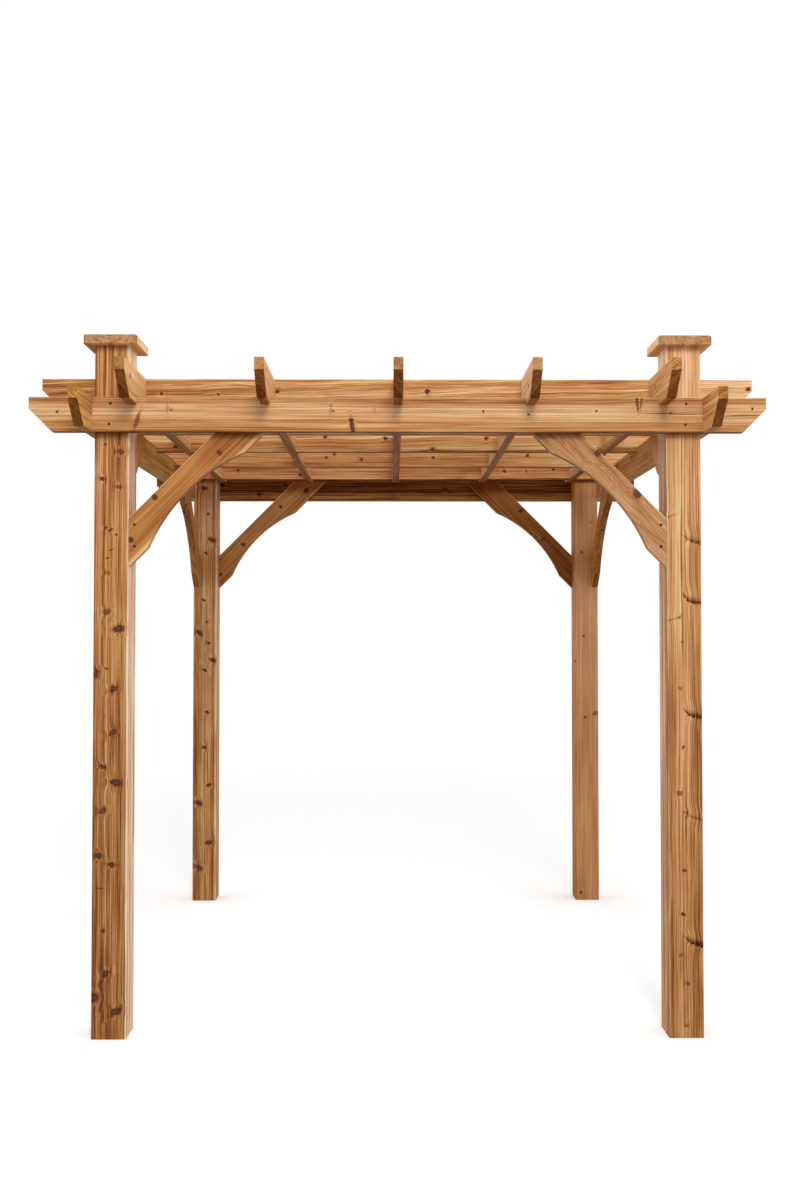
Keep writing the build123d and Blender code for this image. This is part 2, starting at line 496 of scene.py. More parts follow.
class Board:
    """One timber at the mill: where it lay in its log, and the nodes of its cedar."""

    def __init__(self, timber: Timber, mill: Sawmill) -> None:
        """Finds where the board and its log lay, and starts its material.

        The board's own frame and its log's, whose first axis is the pith, are in metres, and start at the
        scene's middle or floor along the board.

        Args:
            timber: the board.
            mill: what all boards share.
        """
        self.timber = timber
        self.mill = mill
        low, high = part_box(timber.node)
        self.face = timber.show * min(b - a for a, b in zip(low, high)) / MM / 2   # mm to the show face
        middle = (low + high) / 2
        if timber.lie.square:
            middle -= timber.lie.length * middle.dot(timber.lie.length)
        self.frame = Matrix.Translation(middle) @ timber.lie.frame
        across, through = timber.pith
        aside, inward = (math.radians(angle) for angle in timber.lean)
        turn = Matrix.Rotation(aside, 4, "Z") @ Matrix.Rotation(inward, 4, "Y")
        self.stem = self.frame @ Matrix.Translation((0.0, across * MM, through * MM)) @ turn
        self.inward = self.face - through
        self.length = (high - low).length / MM    # a little more than the board's, to hold all of it
        self.start = (self.stem.inverted() @ ((low + high) / 2)).x / MM - self.length / 2
        self.material = bpy.data.materials.new(f"planed cedar {timber.node}")
        self.add = empty_nodes(self.material)
        spot = self.add("TexCoord").outputs
        self.normal = spot["Normal"]
        self.place = self.add("Mapping", (spot["Object"], self.stem.translation, self.stem.to_euler("XYZ"),
                                          (MM, MM, MM)), vector_type="TEXTURE")
        self.along, self.aside, _ = self.add("SeparateXYZ", (self.place,)).outputs

    def branches(self, marks: tuple[Mark, ...], squat: float, behind: float = 0.0) -> tuple:
        """Adds the nodes that find the nearest branch of one row, by a ramp along the board.

        The ramp's colour holds the knot's place along the board, its direction round the pith and its
        radius, and its alpha holds the knot's depth.

        Args:
            marks: the knots in this row.
            squat: how much wider than long they are.
            behind: how much further than the pith behind the face its branches start.

        Returns:
            The branch group's outputs, and the nearest knot's depth.
        """
        add, show, cedar = self.add, self.timber.show, self.mill.cedar
        rise = self.timber.rise * cedar.climb_scale ** (1 - cedar.climb_bend)
        found = []
        for knot in (Knot(*fields) for fields in marks):
            mark = Vector((knot.along, knot.across, self.face)) * MM
            there = self.stem.inverted() @ self.frame @ mark / MM
            there.z += show * behind
            turn = math.atan2(there.z, there.y) / (2 * math.pi) + 0.5
            climb = rise * math.hypot(there.y, there.z) ** cedar.climb_bend
            found.append(((there.x - self.start) / self.length, (
                (there.x - climb - self.start) / self.length, turn, knot.radius / KNOT_SPAN, knot.depth)))
        found.sort()
        edges = [0.0] + [(a[0] + b[0]) / 2 for a, b in zip(found, found[1:])]
        share = add("MapRange", (self.along, self.start, self.start + self.length))
        row = add("ValToRGB", (share,), [(edge, entry) for edge, (_, entry) in zip(edges, found)])
        row.color_ramp.interpolation = "CONSTANT"
        origin = add("VectorMath ADD", (self.place, (0.0, 0.0, show * behind)))
        branch = add("Group", {"Place": origin, "Row": row, "Start": self.start, "Length": self.length,
                               "Rise": rise, "Squat": squat}, node_tree=self.mill.branch)
        return branch.outputs, row.outputs["Alpha"]

    def knots(self) -> tuple[Feed, ...]:
        """Adds the nodes for all the knots that show.

        Returns:
            Their core, their halo, how near the nearest is in radii, how far they push the rings, and the
            dark undersides of those that lie in the face.
        """
        add, timber, cedar = self.add, self.timber, self.mill.cedar
        core = halo = bulge = flank = 0.0
        near = NOWHERE
        slant = math.hypot(timber.pith[0], self.inward) / abs(self.inward)
        squat = min(cedar.most_squat, timber.aspect * slant)
        for marks, flattening, behind in (
                (timber.knots[0::2], squat, 0.0), (timber.knots[1::2], squat, 0.0),
                (timber.spikes, cedar.spike_squat, 0.0), (timber.pins, timber.aspect, PIN_REACH)):
            if not marks:
                continue
            branch, depth = self.branches(marks, flattening, behind)
            bulge = add("Math ADD", (bulge, branch["Bulge"]))
            dark = add("Math MULTIPLY", (branch["Core"], depth))
            hard = add("MapRange", (branch["Under"], *cedar.hard_edge, depth, 1.0))
            dark = add("Math MULTIPLY", (dark, hard))
            core = add("Math MAXIMUM", (core, dark))
            glow = add("Math MULTIPLY", (branch["Halo"], depth))
            halo = add("Math MAXIMUM", (halo, glow))
            near = add("Math MINIMUM", (near, branch["Reach"]))
        if timber.fans:
            branch, depth = self.branches(timber.fans, 1.0)
            bulge = add("Math ADD", (bulge, branch["Bulge"]))
            flank = add("Math MULTIPLY", (branch["Core"], depth))
            under = add("Math POWER", (branch["Under"], 2.0))
            flank = add("Math MULTIPLY", (flank, under))
        return core, halo, near, bulge, flank

    def splits(self, grown: bpy.types.bpy_prop_collection) -> Feed:
        """Adds the nodes for the board's splits and its open pith.

        Args:
            grown: what the growth group gives.

        Returns:
            How far into a split a place is, from 0 to 1.
        """
        add, cedar = self.add, self.mill.cedar
        split: Feed = 0.0
        for shake in self.timber.shakes:
            half, centre = (shake.end - shake.start) / 2, (shake.end + shake.start) / 2
            away = add("Math MULTIPLY_ADD", (self.along, 1 / half, -centre / half))
            away = add("Math POWER", (away, shake.blunt))
            gape = add("Math MULTIPLY_ADD", (away, -shake.width, shake.width))
            gape = add("Math MAXIMUM", (gape, cedar.least_split))
            followed, at = (grown["Aside"], 0.0) if shake.ring is None else (grown["Ring"], shake.ring)
            off = add("Math SUBTRACT", (followed, at))
            off = add("Math ABSOLUTE", (off,))
            off = add("Math DIVIDE", (off, gape))
            line = add("MapRange", (off, cedar.split_core, shake.edge, shake.dark, 0.0),
                       interpolation_type="SMOOTHSTEP")
            split = add("Math MAXIMUM", (split, line))
        return split

    def dress(self, number: int) -> None:
        """Adds the rest of the board's nodes, and puts its cedar in every slot of its mesh.

        Args:
            number: its place in the cut list, which seeds its grain.
        """
        add, timber, cedar = self.add, self.timber, self.mill.cedar
        core, halo, near, bulge, flank = self.knots()
        pith = math.hypot(*timber.pith)
        # twice the wander, since the noise strays by a half either way
        grown = add("Group", (self.place, bulge, pith, timber.wander * 2, number * SEED_STEP),
                    node_tree=self.mill.growth).outputs
        # how squarely the surface faces along the board, across it and through it
        facing = []
        for column in range(3):
            square = add("VectorMath DOT_PRODUCT", (self.normal, timber.lie.frame.col[column].xyz))
            facing.append(add("Math ABSOLUTE", (square,)))
        sawn, *planed = facing
        # the board's bands, from its pith side to its bark side; its rings show most on sawn ends
        tone = graded(add, grown["Ring"], sorted(
            (math.hypot(at - timber.pith[0], self.inward) - pith, tone) for at, tone in timber.bands))
        figure = add("Math MULTIPLY_ADD", (sawn, timber.figure, timber.figure))
        oil: Feed = linear(timber.stain)
        edge, extra = timber.sapwood
        if extra:
            side = math.copysign(1.0, edge)
            past = add("Math MULTIPLY_ADD", (self.aside, side, side * (timber.pith[0] - edge)))
            past = add("Math MULTIPLY_ADD", (grown["Stain"], cedar.sap_stray, past))
            past = add("MapRange", (past, -cedar.sap_edge, cedar.sap_edge))
            figure = add("Math MULTIPLY_ADD", (past, timber.sap_figure, figure))
            tone = add("Math MULTIPLY_ADD", (past, extra, tone))
            oil = add("Mix RGBA", {0: past, 6: oil, 7: linear(cedar.sapwood)})
        # painted light and shade along the board, with some of its own tone
        if timber.run:
            # a ramp holds nothing below 0, so this one is half a tone up
            gain = graded(add, self.along, [(at, gain + 0.5) for at, gain in timber.run])
            gain = add("Math SUBTRACT", (gain, 0.5))
            tone = add("Math ADD", (tone, gain))
        # painted highlight on the planed-off edges, which go paler as if they caught the light: there the
        # surface faces neither across the board nor through it
        squarely = add("Math MAXIMUM", planed)
        squarely = add("Math ADD", (squarely, sawn))
        wear_and_highlight = add("MapRange", (squarely, *cedar.highlight_edge, timber.wear_and_highlight, 0.0))
        for part, share in ((grown["Grain"], figure), (grown["Stain"], cedar.stain_share),
                            (flank, cedar.fan_dark), (wear_and_highlight, 1.0)):
            tone = add("Math MULTIPLY_ADD", (part, share, tone))
        # sawn ends: square tips take the colour of their end grain, bevels that of end grain and painted
        # shade
        bevel = linear(timber.bevel_grain_and_shade)
        places = (0.0, *cedar.bevel_edge, *cedar.tip_edge)
        shades = (linear(WHITE), linear(WHITE), bevel, bevel, linear(timber.tip_stain))
        cut = add("ValToRGB", (sawn,), list(zip(places, shades)))
        skin = add("Group", {
            "Tone": tone, "Fibre": grown["Fibre"], "Hue": grown["Hue"], "Core": core, "Halo": halo,
            "Reach": near, "Split": self.splits(grown), "Oil": oil, "Cut": cut},
            node_tree=self.mill.colour).outputs
        relief = add("Bump", {"Height": skin["Height"], "Strength": cedar.relief, "Distance": MM})
        wood = add("BsdfPrincipled", {"Base Color": skin["Colour"], "Roughness": skin["Roughness"],
                                      "Normal": relief, "Specular IOR Level": cedar.gloss})
        add("OutputMaterial", (wood,))
        for slot in self.mill.nodes[timber.node].material_slots:
            slot.material = self.material
        log.info("%s: cedar with %d knots", timber.node, len(timber.knots))


# --- screws ---

@dataclass(frozen=True)
class CoatedSteel:
    """Deck screw steel with a baked bronze polymer coat: very dark red-brown and almost matt."""

    colour: str = "#120301"
    wear_and_highlight: str = "#240B05"        # where the driver has scuffed it
    scuff_size: float = 1.5      # mm
    scuff_edge: Range = (0.5, 0.7)
    roughness: float = 0.65
    scuff_rough: float = 0.2
    gloss: float = 0.05

    def material(self) -> Material:
        """Makes the coat's material.

        Returns:
            The material.
        """
        material = bpy.data.materials.new("bronze coated screw steel")
        add = empty_nodes(material)
        spot = add("TexCoord").outputs["Object"]
        scuff = add("TexNoise", {"Vector": spot, "Scale": 1 / (self.scuff_size * MM), "Detail": 3.0})
        scuff = add("MapRange", (scuff, *self.scuff_edge))
        colour = add("Mix RGBA", {0: scuff, 6: linear(self.colour), 7: linear(self.wear_and_highlight)})
        rough = add("Math MULTIPLY_ADD", (scuff, self.scuff_rough, self.roughness))
        steel = add("BsdfPrincipled", {"Base Color": colour, "Roughness": rough,
                                       "Specular IOR Level": self.gloss})
        add("OutputMaterial", (steel,))
        return material


@dataclass(frozen=True)
class DeckScrew:
    """A countersunk star-drive deck screw, seen from its head only, in millimetres."""

    head: float = 11.0
    proud: float = 0.5
    sunk: float = 1.5
    rim: float = 0.35            # how far the edge of the head is rounded
    drive: float = 3.6
    drive_depth: float = 1.1
    lobe: float = 0.72           # the drive's width between its points over its width across them
    lobes: int = 6
    lobe_points: int = 4         # points of the head's outline to each lobe, half of them on its tip
    turn: float = 1.1            # radians that each is driven further round than the last
    smooth: float = 35.0         # degrees, the sharpest edge that is shaded smooth

    def head_mesh(self) -> bmesh.types.BMesh:
        """Makes one head that faces +Z, with the timber's face at 0.

        Returns:
            The head's mesh, in metres.
        """
        form = bmesh.new()
        radius = self.head / 2 * MM
        bmesh.ops.create_cone(form, cap_ends=True, segments=self.lobe_points * self.lobes, radius1=radius,
                              radius2=radius, depth=(self.proud + self.sunk) * MM)
        bmesh.ops.translate(form, verts=form.verts, vec=(0, 0, (self.proud - self.sunk) / 2 * MM))
        top = max(form.faces, key=lambda face: face.calc_center_median().z)
        bmesh.ops.bevel(form, geom=top.edges[:], offset=self.rim * MM, offset_type="OFFSET", segments=2,
                        profile=0.5, affect="EDGES", material=-1)
        top = max(form.faces, key=lambda face: face.calc_center_median().z)
        bmesh.ops.inset_region(form, faces=[top], thickness=((self.head - self.drive) / 2 - self.rim) * MM)
        for number, corner in enumerate(top.verts):
            share = 1.0 if number % self.lobe_points < self.lobe_points / 2 else self.lobe
            corner.co.xy = corner.co.xy.normalized() * self.drive / 2 * share * MM
        socket = bmesh.ops.extrude_discrete_faces(form, faces=[top])["faces"]
        bmesh.ops.translate(form, verts=socket[0].verts, vec=(0, 0, -self.drive_depth * MM))
        bmesh.ops.recalc_face_normals(form, faces=form.faces)
        return form

    def set_row(self, name: str, places: list[tuple[Vector, Vector]], coat: Material, slot: str) -> None:
        """Sets a screw at each place and makes them one piece, which rides on the pergola.

        Args:
            name: the piece's name.
            places: where each head's face meets the timber, in metres, and the way it faces.
            coat: the screws' finish.
            slot: the material slot of the timber they are in; not used.
        """
        row = bmesh.new()
        for number, (place, out) in enumerate(places):
            head = self.head_mesh()
            spin = Matrix.Rotation(number * self.turn, 4, "Z")
            facing = out.to_track_quat("Z", "Y").to_matrix().to_4x4()
            bmesh.ops.transform(head, matrix=Matrix.Translation(place) @ facing @ spin, verts=head.verts)
            single = bpy.data.meshes.new("head")
            head.to_mesh(single)
            head.free()
            row.from_mesh(single)
            bpy.data.meshes.remove(single)
        mesh = bpy.data.meshes.new(name)
        row.to_mesh(mesh)
        row.free()
        mesh.shade_smooth()
        mesh.set_sharp_from_angle(angle=math.radians(self.smooth))
        mesh.materials.append(coat)
        piece = stand(name, mesh)
        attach(piece, BODY)
        log.info("%s: %d screws, %d faces", name, len(places), len(mesh.polygons))


# --- the pergola's sub-assemblies ---

@dataclass
class Assembly:
    """Boards that do one job together."""

    timbers: tuple[Timber, ...] = ()

    def dress(self, mill: Sawmill, first: int) -> int:
        """Gives each board its cedar.

        Args:
            mill: the sawmill.
            first: the first board's place in the cut list.

        Returns:
            The place after the last board's.
        """
        for number, timber in enumerate(self.timbers, first):
            Board(timber, mill).dress(number)
        return first + len(self.timbers)


@dataclass
class Posts(Assembly):
    """Four square posts, each with a thick square cap."""


@dataclass
class Lattice(Assembly):
    """Rafters and cross boards half-lapped into an egg-crate roof."""


@dataclass
class Beams(Assembly):
    """Four beams lapped round the posts' tops, each screwed twice to each post."""

    from_top: float = 23.0       # mm from a beam's top edge to its upper screw
    from_bottom: float = 29.0
    drift: tuple[float, ...] = (3.0, -2.0, 2.0, -1.0, 1.5, -3.0, -1.5, 2.5)   # mm off that, screw by screw

    def screw_places(self) -> list[tuple[Vector, Vector]]:
        """Works out where the beams are screwed to the posts.

        Returns:
            Each head's place on the beams' outer faces and the way it faces.
        """
        places = []
        post = sum(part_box("post_front_right"), Vector()) / 2
        for timber in self.timbers:
            low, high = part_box(timber.node)
            middle = (low + high) / 2
            out = Vector((middle.x, middle.y, 0)).normalized()
            face = middle + out * (min(high.x - low.x, high.y - low.y) / 2)
            for side in (-1, 1):
                for height in (high.z - self.from_top * MM, low.z + self.from_bottom * MM):
                    drift = self.drift[len(places) % len(self.drift)] * MM
                    place = face + timber.lie.length * (side * abs(post.x) + drift)
                    place.z = height - drift
                    places.append((place, out))
        return places


@dataclass
class Braces(Assembly):
    """Eight scooped knee braces between posts and beams, screwed at their feet."""

    from_post: Range = (23.0, 24.0)      # mm from the post to the upper and lower screw
    above_foot: Range = (171.0, 83.0)    # mm from the brace's lowest point to each

    def screw_places(self) -> list[tuple[Vector, Vector]]:
        """Works out where the braces are screwed to the posts.

        Returns:
            Each head's place on the braces' outer faces and the way it faces.
        """
        places = []
        for timber in self.timbers:
            low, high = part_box(timber.node)
            middle, half = (low + high) / 2, (high - low) / 2
            run = Vector((timber.lie.length.x, timber.lie.length.y, 0)).normalized()
            across = Vector((run.y, run.x, 0))
            out = across * math.copysign(1.0, middle.dot(across))
            reach, thick = (half.dot(Vector(map(abs, way))) for way in (run, across))
            foot = middle - run * reach + out * thick
            for inward, up in zip(self.from_post, self.above_foot):
                place = foot + run * inward * MM
                place.z = low.z + up * MM
                places.append((place, out))
        return places


# --- the studio ---

def heading(turn: float, rise: float) -> Vector:
    """The way that is so many degrees left of the pergola's rear, and so many above level."""
    turn, rise = math.radians(turn), math.radians(rise)
    return Vector((-math.sin(turn) * math.cos(rise), math.cos(turn) * math.cos(rise), math.sin(rise)))


@dataclass
class Studio:
    """A pale floor that fades to white, a broad soft sky and one large soft box from the front."""

    eye: tuple[float, float, float] = (-0.026, -5.811, 1.641)
    yaw: float = -0.42           # degrees
    pitch: float = 1.39
    lens: float = 34.15          # mm
    film: float = 36.0           # mm
    sight: float = 200.0         # m, as far as the camera sees
    key_aim: tuple[float, float, float] = (0.0, -1.2, 1.9)
    key_distance: float = 10.0   # m
    key_rise: float = 33.0       # degrees above the horizon
    key_turn: float = 187.0      # degrees left of the pergola's rear, which is in front and a little right
    key_size: float = 3.6        # m
    key_level: float = 0.49      # how bright the soft box alone makes a white card that faces it
    horizon: float = 0.84        # the sky's level low down, overhead, and more of it low and high aside
    zenith: float = 0.45
    sides: Range = (2.9, 0.4)
    sky_heights: Range = (0.1, 0.9)      # sines of the heights between which the sky goes over
    side_heights: Range = (0.15, 0.8)
    floor_radius: float = 40.0   # m
    floor_sides: int = 96
    floor_below: float = 0.5     # mm under the posts' feet
    floor_fade: Range = (4.5, 9.0)
    floor_bounce: str = "#7C6D5B"  # the warm dim light that the floor gives back to the object
    floor_paint: str = "#F9F9F9"
    floor_lift: float = 0.18

    def camera(self) -> None:
        """Makes the camera and sets it as the scene's."""
        data = bpy.data.cameras.new("camera")
        data.lens = self.lens
        data.sensor_width = self.film
        data.clip_end = self.sight
        camera = stand("camera", data)
        camera.location = self.eye
        camera.rotation_euler = heading(self.yaw, self.pitch).to_track_quat("-Z", "Y").to_euler()
        bpy.context.scene.camera = camera

    def soft_box(self) -> None:
        """Makes the one lamp, aimed at the middle of the pergola's front."""
        way = heading(self.key_turn, self.key_rise)
        data = bpy.data.lights.new("soft box", "AREA")
        data.shape = "DISK"
        data.size = self.key_size
        data.energy = self.key_level * math.pi ** 2 * self.key_distance ** 2
        lamp = stand("soft box", data)
        lamp.location = Vector(self.key_aim) + way * self.key_distance
        lamp.rotation_euler = (-way).to_track_quat("-Z", "Y").to_euler()

    def seen(self, add: Callable[..., Node]) -> Node:
        """Adds the nodes that tell sight from light.

        Args:
            add: adds a node.

        Returns:
            A node that gives 1 where a surface is looked at, reflected or seen through.
        """
        path = add("LightPath").outputs
        sight = add("Math MAXIMUM", (path["Is Camera Ray"], path["Is Glossy Ray"]))
        return add("Math MAXIMUM", (sight, path["Is Transmission Ray"]))

    def sky(self) -> None:
        """Makes the white surround, brightest near the horizon."""
        world = bpy.data.worlds.new("studio sky")
        add = empty_nodes(world)
        way = add("TexCoord").outputs["Generated"]
        right, _, up = add("SeparateXYZ", (way,)).outputs
        level = add("MapRange", (up, *self.sky_heights, self.horizon, self.zenith))
        aside = add("Math POWER", (right, 2.0))
        more = add("MapRange", (up, *self.side_heights, *self.sides))
        aside = add("Math MULTIPLY_ADD", (aside, more, 1.0))
        level = add("Math MULTIPLY", (level, aside))
        level = add("Mix FLOAT", {0: self.seen(add), 2: level, 3: 1.0})
        glow = add("Background", {"Color": linear(WHITE), "Strength": level})
        add("OutputWorld", (glow,))
        bpy.context.scene.world = world

    def floor(self) -> None:
        """Makes the floor, which keeps the shadow and fades to white."""
        form = bmesh.new()
        bmesh.ops.create_circle(form, cap_ends=True, segments=self.floor_sides, radius=self.floor_radius)
        bmesh.ops.translate(form, verts=form.verts, vec=(0, 0, -self.floor_below * MM))
        mesh = bpy.data.meshes.new("studio_floor")
        form.to_mesh(mesh)
        form.free()
        material = bpy.data.materials.new("pale painted floor")
        add = empty_nodes(material)
        seen = self.seen(add)
        spot = add("TexCoord").outputs["Object"]
        away = add("VectorMath LENGTH", (spot,))
        fade = add("MapRange", (away, *self.floor_fade), interpolation_type="SMOOTHSTEP")
        fade = add("Math MULTIPLY", (fade, seen))
        paint = add("Mix RGBA", {0: seen, 6: linear(self.floor_bounce), 7: linear(self.floor_paint)})
        lift = add("Math MULTIPLY", (seen, self.floor_lift))
        matt = add("BsdfDiffuse", {"Color": paint})
        glow = add("Emission", {"Strength": lift})
        near = add("AddShader", (matt, glow))
        far = add("Emission", {"Strength": 1.0})
        both = add("MixShader", (fade, near, far))
        add("OutputMaterial", (both,))
        mesh.materials.append(material)
        stand("studio_floor", mesh)

    def build(self) -> None:
        """Sets up the whole studio."""
        bpy.context.scene.view_settings.view_transform = "Standard"
        self.camera()
        self.soft_box()
        self.sky()
        self.floor()
        log.info("studio: camera, soft box, sky and floor")


# --- the cut list ---

POSTS = (
    Timber("post_front_left", Lie.UPRIGHT, pith=(-95, 60), show=-1, figure=0.85, rise=0.3, wander=6.0,
           # its sapwood makes the right face pale: partly the sapwood's own colour, partly painted light from
           # the right
           sapwood=(66.0, 0.56), sap_figure=1.7, aspect=0.68, wear_and_highlight=0.05,
           run=((200, -0.05), (600, -0.08), (1200, 0.02), (2600, 0.05)),
           bands=((-70, 0.25), (-62, 0.29), (-55, 0.37), (-48, 0.43), (-42, 0.39), (-38, 0.3), (-28, 0.3),
                  (-20, 0.35), (-15, 0.4), (-8, 0.36), (2, 0.36), (12, 0.39), (20, 0.38), (28, 0.34),
                  (36, 0.31), (42, 0.31), (48, 0.38), (54, 0.41), (57, 0.53), (66, 0.52), (72, 0.48)),
           knots=((2379, -30, 4), (2351, 35, 10, 0.8), (2241, -37, 8), (2209, 32, 8, 0.8), (2043, -23, 5),
                  (2034, -3, 6), (2015, 21, 4), (1955, 2, 4), (1922, -14, 4), (1862, -10, 8, 0.6),
                  (1705, -17, 11, 0.85), (1637, 32, 14), (1456, -60, 12), (1476, -15, 4),
                  (1396, 13, 11, 0.9), (1284, -26, 3, 0.7), (1220, 11, 11, 0.9), (1084, -28, 9),
                  (1020, 24, 14), (908, -27, 11, 0.9), (729, -42, 11), (693, 10, 10), (598, -33, 4),
                  (431, -24, 6), (260, -11, 11), (166, -55, 14), (110, 28, 15)),
           spikes=((1900, 0, 1.2, 0.5), (599, -48, 1.6))),
    Timber("post_front_right", Lie.UPRIGHT, pith=(-10, -69.5), show=-1, figure=0.9, wander=8.0, rise=-0.5,
           wear_and_highlight=0.05, aspect=0.8, sapwood=(-66.0, 0.09), sap_figure=0.6,
           shakes=(Shake(None, 1450, 2520, 2.0, 4.0, 1.2, 0.7),),
           run=((200, -0.12), (850, -0.08), (1500, 0.02), (1900, 0.0), (2600, 0.16)),
           bands=((-10, 0.54), (0, 0.58), (15, 0.56), (28, 0.48), (35, 0.39), (48, 0.39), (56, 0.54),
                  (70, 0.5), (110, 0.62)),
           fans=((2103, -34, 8, 0.5), (2002, 32, 17, 0.7), (1757, 40, 21, 1.0), (1683, -34, 8, 0.45),
                 (1296, 40, 19, 1.0), (885, 40, 15, 0.4), (384, 45, 19, 1.0)),
           pins=((1683, -20, 5, 0.7), (1582, -9, 4, 0.7), (1397, -20, 6, 0.7), (1160, -7, 5, 0.8),
                 (975, -24, 9, 0.8), (899, 2, 5, 0.6), (667, -6, 6, 0.9), (492, -12, 7),
                 (372, 62, 8, 0.8), (329, -24, 6, 0.7), (217, 4, 7, 0.8), (50, 0, 6, 0.7))),
    Timber("post_rear_left", Lie.UPRIGHT, pith=(-95, 70), show=-1, figure=0.9, rise=-0.3, aspect=0.7,
           wear_and_highlight=0.05, sapwood=(66.0, 0.04), sap_figure=0.4,
           run=((200, -0.06), (900, -0.03), (1500, 0.09), (2400, 0.05)),
           bands=((-70, 0.42), (-60, 0.36), (-48, 0.29), (-40, 0.35), (-30, 0.39), (-24, 0.34),
                  (-18, 0.45), (-4, 0.51), (0, 0.58), (6, 0.49), (36, 0.53), (42, 0.44), (50, 0.39),
                  (56, 0.33), (60, 0.54), (70, 0.62), (90, 0.74)),
           knots=((2487, -7, 13), (2330, 17, 7), (2172, 41, 14), (2093, 5, 7), (1808, -7, 8),
                  (1675, 11, 6), (1608, -32, 15), (1548, 23, 8), (1445, 47, 13), (1384, -1, 10),
                  (1130, 17, 9), (918, -1, 10), (693, 29, 10), (584, -32, 15), (348, 29, 13),
                  (196, -25, 14))),
    Timber("post_rear_right", Lie.UPRIGHT, pith=(-150, 100), show=-1, figure=0.38, wander=4.0,
           stain="#FFF8FA", aspect=0.8, wear_and_highlight=0.05,
           run=((300, -0.06), (800, 0.0), (1700, 0.1), (2050, -0.04), (2400, 0.05)),
           bands=((-80, 0.39), (-66, 0.46), (-62, 0.58), (-50, 0.55), (0, 0.54), (20, 0.56), (50, 0.59),
                  (80, 0.59)),
           knots=((2281, 32, 6, 0.4), (2099, -28, 8, 0.8), (1590, -16, 6), (1439, -65, 4),
                  (1124, 50, 12, 0.7), (1099, -10, 6), (354, -22, 6, 0.4), (45, -40, 7))),
)

CAPS = tuple(
    Timber(f"post_cap_{corner}", Lie.FLAT, pith=(pith, -48.0), figure=1.1, wander=9.0, wear_and_highlight=0.1,
           bands=((-110, 0.86), (110, 0.86)), tip_stain="#C8B29A")
    for corner, pith in (
        ("front_left", -12.0), ("front_right", 34.0), ("rear_left", -30.0), ("rear_right", 15.0)))

BEAMS = (
    Timber("beam_front", Lie.ALONG_X, pith=(-240, -200), wander=5.0, figure=0.8, rise=0.7,
           # its first band paints a dark line along the bottom edge: painted shade under the beam
           bands=((-72, 0.24), (-66, 0.42), (-42, 0.44), (-30, 0.49), (-22, 0.55), (-17, 0.66), (-5, 0.7),
                  (6, 0.64), (12, 0.64), (18, 0.72), (30, 0.72), (38, 0.58), (46, 0.52), (56, 0.48),
                  (66, 0.43), (72, 0.4)),
           knots=((-1365, 10, 5), (-910, 17, 5, 0.75), (-262, 14, 5, 0.7), (-95, 20, 5, 0.35),
                  (342, 13, 5), (523, 2, 5), (796, 14, 5), (1094, 7, 5), (1424, 24, 5)),
           spikes=((-1045, -24, 8, 0.75), (-925, 30, 5, 0.4), (-270, 25, 4.5, 0.4), (-184, -48, 8),
                   (961, 46, 6, 0.9), (977, 50, 5, 0.7)),
           shakes=(Shake(15, 960, 1230, 2.2), Shake(11, 1280, 1490, 2.4))),
    Timber("beam_rear", Lie.ALONG_X, pith=(-200, -180), figure=1.0, stain="#FFF8F0",
           # paler along the bottom edge and darkest in the middle: painted shade from the lattice above,
           # which shades it less at the bottom
           bands=((-72, 0.33), (-40, 0.275), (0, 0.235), (72, 0.255)),
           knots=((-1074, 30, 10), (-845, -30, 12), (-684, 32, 10), (9, 42, 10), (301, 2, 12))),
    Timber("beam_left", Lie.ALONG_Y, pith=(-200, -160), bands=((-72, 0.67), (0, 0.66), (72, 0.64)),
           figure=1.0, bevel_grain_and_shade="#A68A64", tip_stain="#DCC8A4", stain="#FFF8D4",
           knots=((-900, 20, 9), (300, -30, 10), (900, 10, 8))),
    Timber("beam_right", Lie.ALONG_Y, pith=(-200, 160), show=-1, stain="#FFF2D2",
           bands=((-72, 0.77), (0, 0.76), (72, 0.74)), figure=1.0, bevel_grain_and_shade="#A08460",
           tip_stain="#BAA078", knots=((-700, -20, 9), (100, 30, 10), (1000, 0, 8))),
)

